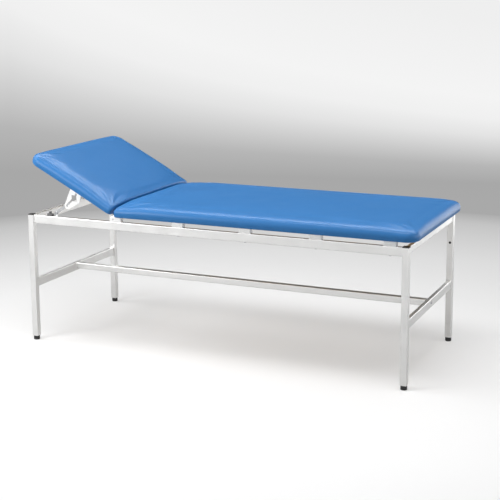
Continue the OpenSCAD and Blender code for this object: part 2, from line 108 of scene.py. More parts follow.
def add_node(
    tree: bpy.types.NodeTree,
    kind: str,
    inputs: Mapping[int | str, Any] | None = None,
    stops: Sequence[tuple[float, str]] = (),
    **settings: Any,
) -> bpy.types.Node:
    """Adds one shader node with its settings and links.

    Args:
        tree: The material's or world's node tree.
        kind: The node's type without the ShaderNode prefix.
        inputs: A value for each named or numbered input; an output socket is linked.
        stops: Places and hex colours of a colour ramp's stops.
        settings: The node's own properties.

    Returns:
        The new node.
    """
    node = tree.nodes.new("ShaderNode" + kind)
    for name, value in settings.items():
        setattr(node, name, value)
    for key, value in (inputs or {}).items():
        if isinstance(value, Socket):
            tree.links.new(value, node.inputs[key])
        else:
            node.inputs[key].default_value = value
    if stops:
        ramp = node.color_ramp.elements
        while len(ramp) < len(stops):
            ramp.new(1.0)
        for element, (place, shade) in zip(ramp, stops):
            element.position, element.color = place, linear(shade)
    return node


def span(low: float, high: float, to_low: float = 0.0, to_high: float = 1.0) -> dict[str, float]:
    """Inputs that make a Map Range node turn low into to_low and high into to_high."""
    return {"From Min": low, "From Max": high, "To Min": to_low, "To Max": to_high}


def smooth_step(t: np.ndarray) -> np.ndarray:
    """Runs from 0 to 1 as t does, with no slope at either end: t * t * (3 - 2 t)."""
    t = np.clip(t, 0.0, 1.0)
    return t * t * (3.0 - 2.0 * t)


def turned_about_y(points: np.ndarray, pivot: Point, angle: float) -> np.ndarray:
    """Turns points about a line along Y.

    Args:
        points: Points, one in each row.
        pivot: A point on the line.
        angle: Angle in radians; a positive one lifts what lies towards -X.

    Returns:
        The turned points.
    """
    c, s = math.cos(angle), math.sin(angle)
    turn = np.array([[c, 0, s], [0, 1, 0], [-s, 0, c]])
    return (points - np.array(pivot)) @ turn.T + np.array(pivot)


def flat_box(node: str, tilt_deg: float = 0.0) -> tuple[np.ndarray, np.ndarray]:
    """Measures the box of a CAD node, turned back about the head hinge to where it lies flat.

    Args:
        node: Name of the node.
        tilt_deg: How far its body is raised at rest.

    Returns:
        The lowest and the highest corner, to the nearest micrometre.
    """
    vertices = frame["nodes"][node].data.vertices
    points = np.empty(3 * len(vertices))
    vertices.foreach_get("co", points)
    flat = turned_about_y(points.reshape(-1, 3), HINGE, -math.radians(tilt_deg))
    return flat.min(0).round(BOX_DIGITS), flat.max(0).round(BOX_DIGITS)


def ring_quads(n_rings: int, n: int, closed_path: bool = False) -> np.ndarray:
    """Lists the quads between neighbouring rings that have n points each.

    Args:
        n_rings: Number of rings.
        n: Number of points in a ring, which is closed on itself.
        closed_path: True where the last ring meets the first.

    Returns:
        The four point numbers of each quad.
    """
    i = np.arange(n_rings if closed_path else n_rings - 1)[:, None]
    j = np.arange(n)[None, :]
    ahead, right = (i + 1) % n_rings, (j + 1) % n
    quads = np.stack([i * n + j, i * n + right, ahead * n + right, ahead * n + j], -1)
    return quads.reshape(-1, 4)


@dataclass
class Shell:
    """Points and faces of one piece, gathered from closed surfaces."""

    points: list[np.ndarray] = field(default_factory=list)
    faces: list[list[int]] = field(default_factory=list)
    count: int = 0

    def add_rings(self, rings: np.ndarray, closed_path: bool = False) -> None:
        """Adds a surface of rings, with quads between neighbours and flat caps at its ends.

        Args:
            rings: Points as rows of rings, each ring closed on itself.
            closed_path: True where the last ring meets the first, as on a weld bead.
        """
        n_rings, n = rings.shape[:2]
        self.faces += (ring_quads(n_rings, n, closed_path) + self.count).tolist()
        if not closed_path:
            first = np.arange(n) + self.count
            self.faces += [first[::-1].tolist(), (first + (n_rings - 1) * n).tolist()]
        self.points.append(rings.reshape(-1, 3))
        self.count += n_rings * n

    def as_object(self, name: str) -> bpy.types.Object:
        """Makes the mesh and its object, with smooth faces that point outwards.

        Args:
            name: Name of the piece.

        Returns:
            The object, in the scene and at the origin.
        """
        mesh = bpy.data.meshes.new(name)
        mesh.from_pydata(np.concatenate(self.points).tolist(), [], self.faces)
        made = bmesh.new()
        made.from_mesh(mesh)
        bmesh.ops.recalc_face_normals(made, faces=made.faces)
        made.to_mesh(mesh)
        made.free()
        mesh.polygons.foreach_set("use_smooth", np.ones(len(mesh.polygons), bool))
        piece = bpy.data.objects.new(name, mesh)
        bpy.context.scene.collection.objects.link(piece)
        return piece


# Camera and studio


@dataclass(frozen=True)
class StudioCamera:
    """The camera at the photograph's viewing angle, with a small shift for its framing."""

    place: Point = (2.2609, -5.0248, 1.7266)
    yaw_deg: float = 23.92
    pitch_deg: float = 10.58
    roll_deg: float = -0.32
    lens_mm: float = 84.29
    sensor_mm: float = 36.0
    shift_up: float = -0.1

    def build(self) -> None:
        """Makes the camera and sets it as the scene's own."""
        yaw, pitch, roll = np.radians((self.yaw_deg, self.pitch_deg, self.roll_deg)).tolist()
        ahead = Vector((-math.sin(yaw) * math.cos(pitch), math.cos(yaw) * math.cos(pitch),
                        -math.sin(pitch)))
        right = Vector((math.cos(yaw), math.sin(yaw), 0.0))
        up = right.cross(ahead)
        side = right * math.cos(roll) + up * math.sin(roll)
        top = up * math.cos(roll) - right * math.sin(roll)
        data = bpy.data.cameras.new("studio_camera")
        data.lens, data.sensor_width, data.shift_y = self.lens_mm, self.sensor_mm, self.shift_up
        camera = bpy.data.objects.new("studio_camera", data)
        camera.matrix_world = Matrix.Translation(self.place) @ Matrix(
            (side, top, -ahead)).transposed().to_4x4()
        bpy.context.scene.collection.objects.link(camera)
        bpy.context.scene.camera = camera


@dataclass(frozen=True)
class SoftBox:
    """One rectangular soft lamp that points at a place on the table."""

    name: str
    place: Point
    aim: Point
    size: tuple[float, float]
    watts: float

    def build(self) -> None:
        """Makes the lamp."""
        data = bpy.data.lights.new(self.name, "AREA")
        data.shape = "RECTANGLE"
        data.size, data.size_y = self.size
        data.energy = self.watts
        lamp = bpy.data.objects.new(self.name, data)
        lamp.location = self.place
        lamp.visible_camera = False
        way = Vector(self.aim) - Vector(self.place)
        lamp.rotation_euler = way.to_track_quat("-Z", "Y").to_euler()
        bpy.context.scene.collection.objects.link(lamp)


@dataclass
class Studio:
    """A pale floor that runs into a pale backdrop, and plain soft light."""

    floor_middle: tuple[float, float] = (0.35, -0.85)
    floor_hole: float = 0.02
    floor_radius: float = 4.4
    floor_below: float = 0.5 * MM
    floor_rings: int = 24
    floor_ring_points: int = 96
    floor_mirrored: float = 0.4
    ambient: float = 0.33
    slant_way: Point = (0.914, 0.405, 0.0)
    backdrop_foot: float = 0.1
    panel_rise: float = 0.79
    panel_power: float = 40.0
    pale_panel: Colour = (2.6, 2.6, 2.6, 1.0)
    lamps: tuple[SoftBox, ...] = (
        SoftBox("overhead_softbox", place=(-0.4, 2.2, 4.3), aim=(0.0, 0.0, 0.6),
                size=(4.6, 0.8), watts=14.0),
        SoftBox("near_top_softbox", place=(0.6, -1.0, 4.6), aim=(0.3, 0.0, 0.6),
                size=(3.4, 1.6), watts=114.0),
        SoftBox("head_side_softbox", place=(-4.6, -0.6, 4.0), aim=(0.0, 0.0, 0.7),
                size=(2.6, 2.6), watts=104.0),
        SoftBox("front_softbox", place=(0.6, -6.5, 2.2), aim=(0.0, 0.0, 0.5),
                size=(4.0, 2.0), watts=1.0),
        SoftBox("foot_end_softbox", place=(4.2, 0.2, 1.4), aim=(0.9, 0.0, 0.7),
                size=(1.6, 1.6), watts=16.0),
        SoftBox("head_fill_softbox", place=(-1.7, -1.9, 1.35), aim=(-0.85, -0.4, 0.84),
                size=(0.9, 0.7), watts=28.0),
    )

    def build(self) -> None:
        """Makes the lamps, the world and the floor."""
        bpy.context.scene.view_settings.view_transform = "Standard"
        for lamp in self.lamps:
            lamp.build()
        self.make_world()
        self.make_floor()

    def make_world(self) -> None:
        """Makes the backdrop for the camera, the room that metal reflects, and the ambient light.

        Camera and transmitted rays see the backdrop, mirrored rays the room, and all others an
        even white.
        """
        world = bpy.data.worlds.new("pale_studio")
        bpy.context.scene.world = world
        tree = blank_tree(world)
        rays = add_node(tree, "LightPath").outputs
        way = add_node(tree, "TexCoord").outputs["Generated"]
        parts = add_node(tree, "SeparateXYZ", {0: way}).outputs
        walls, power = self.mirrored_room(tree, parts)
        ambient = add_node(tree, "Background", {0: linear("#FFFFFF"), 1: self.ambient})
        shown = add_node(tree, "Background", {0: self.backdrop(tree, way, parts["Z"]), 1: 1.0})
        shine = add_node(tree, "Background", {0: walls, 1: power})
        through = add_node(tree, "Math", {0: rays["Is Camera Ray"], 1: rays["Is Transmission Ray"]},
                           operation="MAXIMUM")
        first = add_node(tree, "MixShader", {0: rays["Is Glossy Ray"], 1: ambient.outputs[0],
                                             2: shine.outputs[0]})
        both = add_node(tree, "MixShader", {0: through.outputs[0], 1: first.outputs[0],
                                            2: shown.outputs[0]})
        add_node(tree, "OutputWorld", {"Surface": both.outputs[0]})

    def backdrop(self, tree: bpy.types.NodeTree, way: Socket, rise: Socket) -> Socket:
        """Shades the backdrop, from mid grey at its foot to near white above.

        A place on the shades is b + (h - b) s. Here h runs from 0 to 1 with a ray's rise above
        the horizon, b is the backdrop's foot, and s makes the shades turn pale sooner along the
        slant's way. They depend on the ray alone, so they are the same all round the table.

        Args:
            tree: The world's nodes.
            way: A ray's direction.
            rise: Its part along Z.

        Returns:
            The backdrop's colour.
        """
        height = add_node(tree, "MapRange", {"Value": rise, **span(-0.2, 0.05)})
        across = add_node(tree, "VectorMath", {0: way, 1: self.slant_way}, operation="DOT_PRODUCT")
        slant = add_node(tree, "MapRange", {"Value": across.outputs["Value"],
                                            **span(-0.2, 0.2, 0.62, 1.6)})
        above = add_node(tree, "Math", {0: height.outputs[0], 1: self.backdrop_foot},
                         operation="SUBTRACT")
        slanted = add_node(tree, "Math", {0: above.outputs[0], 1: slant.outputs[0],
                                          2: self.backdrop_foot}, operation="MULTIPLY_ADD")
        return add_node(tree, "ValToRGB", {0: slanted.outputs[0]}, [
            (0.06, "#A9A9A9"), (0.15, "#A8A8A8"), (0.24, "#B6B6B6"), (0.32, "#CECECE"),
            (0.4, "#E3E3E3"), (0.49, "#F0F0F0"), (0.6, "#F4F4F4"), (1.0, "#EFEFEF")]).outputs[0]

    def mirrored_room(self, tree: bpy.types.NodeTree,
                      parts: bpy.types.NodeOutputs) -> tuple[Socket, Socket]:
        """Makes the room that shining surfaces reflect.

        The near wall is bright, and less so towards the head end, and the far wall is grey. A pale
        panel covers the low part of the far wall towards the foot end. A long bright panel hangs
        above it and draws the pads' rolls: it has its full power from 49 to 55 degrees up, and
        fades out at 42 and at 66 degrees.

        Args:
            tree: The world's nodes.
            parts: The outputs X, Y and Z of a ray's direction.

        Returns:
            The room's colour, and its power.
        """
        rise = add_node(tree, "MapRange", {"Value": parts["Z"], **span(-0.1, 0.9)})
        far_wall = add_node(tree, "ValToRGB", {0: rise.outputs[0]}, [
            (0.0, "#B0B0B0"), (0.1, "#8A8A8A"), (0.16, "#686868"), (0.5, "#585858"),
            (1.0, "#8C8C8C")])
        foot_side = add_node(tree, "MapRange", {"Value": parts["X"], **span(0.0, 0.16)})
        low = add_node(tree, "MapRange", {"Value": parts["Z"], **span(0.45, 0.3)})
        pale = add_node(tree, "Math", {0: foot_side.outputs[0], 1: low.outputs[0]},
                        operation="MULTIPLY")
        far_side = add_node(tree, "Mix", {0: pale.outputs[0], MIX_A: far_wall.outputs[0],
                                          MIX_B: self.pale_panel}, data_type="RGBA")
        near_wall = add_node(tree, "MapRange", {"Value": parts["X"], **span(-0.6, -0.2, 1.05, 1.8)})
        near = add_node(tree, "MapRange", {"Value": parts["Y"], **span(0.35, -0.35)})
        walls = add_node(tree, "Mix", {0: near.outputs[0], MIX_A: far_side.outputs[MIXED],
                                       MIX_B: near_wall.outputs[0]}, data_type="RGBA")
        beside = add_node(tree, "Math", {0: parts["Z"], 1: self.panel_rise}, operation="SUBTRACT")
        away = add_node(tree, "Math", {0: beside.outputs[0]}, operation="ABSOLUTE")
        panel = add_node(tree, "MapRange", {"Value": away.outputs[0],
                                            **span(0.12, 0.03, 1.0, self.panel_power)})
        # The long panel's power counts on the far side alone, and elsewhere the power is 1.
        far = add_node(tree, "MapRange", {"Value": near.outputs[0], **span(0.0, 0.2, 1.0, 0.0)})
        power = add_node(tree, "Mix", {0: far.outputs[0], VALUE_A: 1.0,
                                       VALUE_B: panel.outputs[0]}, data_type="FLOAT")
        return walls.outputs[MIXED], power.outputs[VALUE_MIXED]

    def make_floor(self) -> None:
        """Makes a round floor, white near the table and grey where it meets the backdrop.

        A ring's points are the middle plus r (cos a, sin a), with r growing from ring to ring.
        """
        angle = np.linspace(0.0, 2.0 * math.pi, self.floor_ring_points, endpoint=False)
        radius = np.linspace(self.floor_hole, self.floor_radius, self.floor_rings)[:, None]
        x = self.floor_middle[0] + radius * np.cos(angle)
        y = self.floor_middle[1] + radius * np.sin(angle)
        points = np.stack([x, y, np.full_like(x, -self.floor_below)], -1).reshape(-1, 3)
        faces = ring_quads(*x.shape).tolist() + [list(range(self.floor_ring_points))]
        floor = Shell([points], faces).as_object("studio_floor")
        floor.data.materials.append(self.floor_material())

    def floor_material(self) -> bpy.types.Material:
        """Makes matt pale lino, part of which the camera sees at its own shade in any light.

        That part grows from a third near the table to all of it at the rim, where the floor runs
        into the backdrop. The rest is lit, so it holds the table's shadow. A mirrored ray sees 40%
        of this and 60% of a plainer grey, and the light that the floor bounces comes from that
        grey alone.

        Returns:
            The material.
        """
        material = bpy.data.materials.new("pale_matt_floor")
        tree = blank_tree(material)
        place = add_node(tree, "TexCoord")
        middle = add_node(tree, "VectorMath", {0: place.outputs["Object"],
                                               1: (*self.floor_middle, 0.0)}, operation="DISTANCE")
        reach = add_node(tree, "MapRange", {"Value": middle.outputs["Value"],
                                            **span(0.0, self.floor_radius)})
        shade = add_node(tree, "ValToRGB", {0: reach.outputs[0]}, [
            (0.0, "#FAFAFA"), (0.2, "#FAFAFA"), (0.38, "#F3F3F3"), (0.5, "#EDEDED"),
            (0.66, "#E2E2E2"), (0.83, "#CFCFCF"), (0.92, "#C3C3C3"), (1.0, "#ADADAD")])
        rays = add_node(tree, "LightPath").outputs
        own = add_node(tree, "Emission", {0: shade.outputs[0], 1: 1.0})
        lit = add_node(tree, "BsdfDiffuse", {0: shade.outputs[0]})
        share = add_node(tree, "MapRange", {"Value": reach.outputs[0], **span(0.3, 0.9, 0.34, 1.0)})
        seen = add_node(tree, "MixShader", {0: share.outputs[0], 1: lit.outputs[0],
                                            2: own.outputs[0]})
        bounced = add_node(tree, "BsdfDiffuse", {0: linear("#BCBCBC")})
        shown = add_node(tree, "Math", {0: rays["Is Glossy Ray"], 1: self.floor_mirrored,
                                        2: rays["Is Camera Ray"]}, operation="MULTIPLY_ADD")
        both = add_node(tree, "MixShader", {0: shown.outputs[0], 1: bounced.outputs[0],
                                            2: seen.outputs[0]})
        add_node(tree, "OutputMaterial", {"Surface": both.outputs[0]})
        return material


# Finishes


class Making(Enum):
    """How a surface was made, which settles the pattern that it shows."""

    SPRAYED = "sprayed and baked coat"
    MOULDED = "injection moulded"
    BRUSHED = "brushed plate"
    PLATED = "electroplated"
    PEELED = "peeled veneers, glued and sawn"
    EMBOSSED = "coated cloth with a pressed grain"
    CUT = "cut foam"


# The dark and the light tone of each pattern, as shares of the finish's own colour.
TONE_SHARES = {
    Making.SPRAYED: (0.96, 1.0), Making.MOULDED: (0.96, 1.0), Making.BRUSHED: (0.86, 1.06),
    Making.PLATED: (0.84, 1.04), Making.PEELED: (0.82, 1.0), Making.EMBOSSED: (0.93, 1.0),
    Making.CUT: (0.8, 1.0),
}


@dataclass(frozen=True)
class Finish:
    """A surface finish: its real material, how it was made, and its typical shader values.

    The grain is the pattern of the way it was made, and the cloud the broad, faint change of its
    gloss over an area. The spread is how far the roughness goes up and down with the cloud.
    """

    name: str
    making: Making
    colour: str
    roughness: float
    metallic: float = 0.0
    specular: float = 0.5
    grain_mm: float = 2.0
    depth_mm: float = 0.02
    cloud_mm: float = 60.0
    spread: float = 0.04
    coat: float = 0.0
    coat_roughness: float = 0.12
    tilt_deg: float = 0.0
    second: str = ""
    ply_mm: float = 1.4

    def build(self) -> bpy.types.Material:
        """Makes the material: base colour, clouded roughness and a bump for how it was made.

        Returns:
            The material, named for the finish.
        """
        material = bpy.data.materials.new(self.name)
        tree = blank_tree(material)
        place = add_node(tree, "TexCoord").outputs["Object"]
        if self.tilt_deg:
            # The head section's grain lies in the raised board, so the pattern turns with it.
            place = add_node(tree, "Mapping", {
                "Vector": place, "Rotation": (0.0, math.radians(-self.tilt_deg), 0.0)}).outputs[0]
        cloud = add_node(tree, "TexNoise", {"Vector": place, "Scale": per_metre(self.cloud_mm),
                                            "Detail": 3.0}).outputs[0]
        height, colour = self.pattern(tree, place, cloud)
        bump = add_node(tree, "Bump", {"Height": height, "Strength": 1.0,
                                       "Distance": self.depth_mm * MM})
        worn = add_node(tree, "MapRange", {"Value": cloud, **span(
            0.25, 0.75, self.roughness - self.spread, self.roughness + self.spread)})
        shader = add_node(tree, "BsdfPrincipled", {
            "Base Color": colour, "Roughness": worn.outputs[0], "Normal": bump.outputs[0],
            "Metallic": self.metallic, "Specular IOR Level": self.specular,
            "Coat Weight": self.coat, "Coat Roughness": self.coat_roughness})
        add_node(tree, "OutputMaterial", {"Surface": shader.outputs[0]})
        return material

    def shade(self, factor: float) -> Colour:
        """The finish's own colour, dimmed by a factor."""
        r, g, b, a = linear(self.colour)
        return r * factor, g * factor, b * factor, a

    def pattern(self, tree: bpy.types.NodeTree, place: Socket,
                cloud: Socket) -> tuple[Socket, Socket]:
        """Makes the pattern of the way the surface was made.

        Args:
            tree: The material's nodes.
            place: Object coordinates, turned with the board where it is tilted.
            cloud: Broad, soft noise from 0 to 1.

        Returns:
            The bump's height and the base colour.
        """
        scale = per_metre(self.grain_mm)
        dark_share, light_share = TONE_SHARES[self.making]
        dark, light = self.shade(dark_share), self.shade(light_share)
        if self.making is Making.EMBOSSED:
            # Pressed leather-like cells: flat islands with rounded furrows between them, the
            # furrows painted 7% darker than the islands as painted shade in their recesses. Patches
            # of the cloud are 5% darker.
            cells = add_node(tree, "TexVoronoi", {"Vector": place, "Scale": scale},
                             feature="DISTANCE_TO_EDGE").outputs["Distance"]
            height = add_node(tree, "MapRange", {"Value": cells, **span(0.0, 0.22)},
                              interpolation_type="SMOOTHSTEP").outputs[0]
            # Painted shade: the furrows take the dark tone and the islands the light one.
            furrow = add_node(tree, "Mix", {0: height, MIX_A: dark, MIX_B: light},
                              data_type="RGBA").outputs[MIXED]
            mixed = {0: cloud, MIX_A: self.shade(0.95), MIX_B: furrow}
        elif self.making is Making.BRUSHED:
            # Long scratches along the plate: noise drawn out about seventeen times along X.
            drawn = add_node(tree, "Mapping", {"Vector": place, "Scale": (0.06, 1.0, 1.0)})
            height = add_node(tree, "TexNoise", {"Vector": drawn.outputs[0], "Scale": scale,
                                                 "Detail": 4.0, "Roughness": 0.7}).outputs[0]
            mixed = {0: height, MIX_A: dark, MIX_B: light}
        elif self.making is Making.PLATED:
            # Zinc crystals and passivation: faint patches with slightly different greys.
            cells = add_node(tree, "TexVoronoi", {"Vector": place, "Scale": scale})
            grey = add_node(tree, "SeparateColor", {0: cells.outputs["Color"]}).outputs[0]
            height, mixed = cloud, {0: grey, MIX_A: dark, MIX_B: light}
        elif self.making is Making.PEELED:
            return self.plies(tree, place, light)
        else:
            # Sprayed coats show orange peel, moulded plastic a spark-eroded grain, and foam its
            # pores: all of them noise, at their own sizes and depths.
            height = add_node(tree, "TexNoise", {"Vector": place, "Scale": scale, "Detail": 2.0,
                                                 "Roughness": 0.55}).outputs[0]
            mixed = {0: cloud, MIX_A: dark, MIX_B: light}
        return height, add_node(tree, "Mix", mixed, data_type="RGBA").outputs[MIXED]

    def plies(self, tree: bpy.types.NodeTree, place: Socket,
              light: Colour) -> tuple[Socket, Socket]:
        """Makes plywood: striped on its edges, with fine long pores on its faces.

        The stripes follow sin(pi z / ply), with z across the board's thickness, so pale and
        darker plies take turns.

        Args:
            tree: The material's nodes.
            place: Object coordinates, with the board's thickness along Z.
            light: The pale plies' colour.

        Returns:
            The bump's height and the base colour.
        """
        across = add_node(tree, "SeparateXYZ", {0: place}).outputs["Z"]
        turns = add_node(tree, "Math", {0: across, 1: math.pi * per_metre(self.ply_mm)},
                         operation="MULTIPLY").outputs[0]
        wave = add_node(tree, "Math", {0: turns}, operation="SINE").outputs[0]
        ply = add_node(tree, "MapRange", {"Value": wave, **span(-0.4, 0.4)})
        tone = add_node(tree, "Mix", {0: ply.outputs[0], MIX_A: linear(self.second), MIX_B: light},
                        data_type="RGBA").outputs[MIXED]
        drawn = add_node(tree, "Mapping", {"Vector": place, "Scale": (0.05, 1.0, 0.4)}).outputs[0]
        pores = add_node(tree, "TexNoise", {"Vector": drawn, "Scale": per_metre(self.grain_mm),
                                            "Detail": 5.0, "Distortion": 0.6}).outputs[0]
        dark_share, light_share = TONE_SHARES[self.making]
        grain = add_node(tree, "MapRange", {"Value": pores,
                                            **span(0.35, 0.65, dark_share, light_share)})
        return pores, add_node(tree, "Mix", {0: 1.0, MIX_A: tone, MIX_B: grain.outputs[0]},
                               data_type="RGBA", blend_type="MULTIPLY").outputs[MIXED]


FINISHES = {
    # Metallic powder coat, sprayed and baked: bright and even, it mirrors the room as a soft haze,
    # and orange peel of about 2 mm breaks up the edges of what it mirrors.
    "frame_coating": Finish("silver_powder_coating", Making.SPRAYED, "#E2E2E1", 0.36, 0.85,
                            grain_mm=2.2, depth_mm=0.015),
    # Stove enamel on steel plate: pure white with a wet, glassy skin.
    "bracket_coating": Finish("white_gloss_enamel", Making.SPRAYED, "#FDFDFC", 0.25, specular=1.0,
                              grain_mm=2.5, depth_mm=0.01, coat=1.0),
    # Polyamide from a spark-eroded mould, under a glossy skin: pure white with soft highlights.
    # Its grain of 0.3 mm is drawn at 1.2 mm, because it would not show.
    "white_plastic": Finish("moulded_white_polyamide", Making.MOULDED, "#FFFFFE", 0.3,
                            specular=1.0, grain_mm=1.2, coat=1.0),
    # Polyethylene caps and glides: black that turns dark grey where light grazes it.
    "black_plastic": Finish("moulded_black_polyethylene", Making.MOULDED, "#161617", 0.45,
                            grain_mm=1.0, depth_mm=0.03),
    # Grey filled polyamide, dull and even, hidden in the stretcher's ends.
    "insert_plastic": Finish("moulded_grey_polyamide", Making.MOULDED, "#4A4A4A", 0.5),
    # Rubber buffers: matt grey, dulled by talc and dust.
    "buffer_rubber": Finish("grey_rubber", Making.MOULDED, "#6C6C6D", 0.7, specular=0.3,
                            grain_mm=1.5, depth_mm=0.05, spread=0.08),
    # Zinc plate with clear passivation: cool grey with faint crystal patches of about 3 mm.
    "zinc_steel": Finish("zinc_plated_steel", Making.PLATED, "#C4C5C8", 0.3, 1.0, grain_mm=3.0,
                         depth_mm=0.01, cloud_mm=12.0, spread=0.07),
    # Brushed steel plate: reflections drawn out across long, fine scratches. Lines of 0.2 mm are
    # drawn at 0.8 mm.
    "stay_steel": Finish("brushed_steel_plate", Making.BRUSHED, "#C0C1C3", 0.34, 1.0, grain_mm=0.8,
                         depth_mm=0.008, cloud_mm=20.0, spread=0.06),
    # Birch plywood: warm and pale, with striped edges and fine long pores.
    "plywood": Finish("birch_plywood", Making.PEELED, "#CDA873", 0.6, specular=0.3, grain_mm=2.4,
                      depth_mm=0.05, spread=0.06, second="#A67C4A"),
    # Cut polyurethane foam: dull cream with open pores.
    "foam": Finish("cut_foam", Making.CUT, "#E6D9A8", 0.9, specular=0.2, grain_mm=1.6,
                   depth_mm=0.3),
    # Vinyl on knitted cloth, pressed with a fine leather grain: saturated blue with broad, soft
    # highlights. Grain cells of 1 mm are drawn at 1.8 mm.
    "vinyl": Finish("blue_upholstery_vinyl", Making.EMBOSSED, "#2D74B4", 0.37, specular=0.3,
                    grain_mm=1.8, depth_mm=0.03, cloud_mm=170.0, spread=0.035),
}
HEAD_BOARD_FINISH = replace(FINISHES["plywood"], name="birch_plywood_tilted", tilt_deg=RAISED_DEG)


# Upholstery


def eased(values: np.ndarray, window: int) -> np.ndarray:
    """Rounds the corners of a run of values.

    Each value becomes the weighted mean of its neighbours, with weights that fall as a cosine,
    (1 + cos(pi k / w)) / 2, and the run is carried on past its ends as a point reflection.

    Args:
        values: Samples along a run.
        window: Reach of the mean to each side, in samples.

    Returns:
        As many eased samples.
    """
    weight = 0.5 + 0.5 * np.cos(math.pi * np.arange(-window, window + 1) / (window + 1))
    before = 2 * values[0] - values[window:0:-1]
    after = 2 * values[-1] - values[-2:-window - 2:-1]
    return np.convolve(np.concatenate([before, values, after]), weight / weight.sum(), "valid")


class SeamEnd(Enum):
    """The end of a pad that lies beside the seam, with its direction along X."""

    HEAD = -1
    FOOT = 1


# Knots of the pads' edge in mm, from the hem's inner edge round and up over the roll: how far in
# each lies from the outline along the sides and the outer end, how far in beside the seam, and how
# high over the board's underside.
SIDE_IN_MM = (40, 40, 38, 27, 15, 9.5, 4.6, 1.6, 0.2, 0, 0.9, 4.4, 10, 18, 28, 41, 56, 74, 96)
SEAM_IN_MM = (30, 30, 28, 20, 9, 3.6, 1.4, 0.4, 0, 0, 0.6, 2.6, 4.8, 6.6, 8.6, 11, 16, 26, 42)
RISE_MM = (4, 0.6, -0.3, -0.35, -0.35, 0, 2.8, 9, 18, 25, 32, 40.5, 47, 51.7, 55, 57.2, 58.6, 59.5,
           60.1)


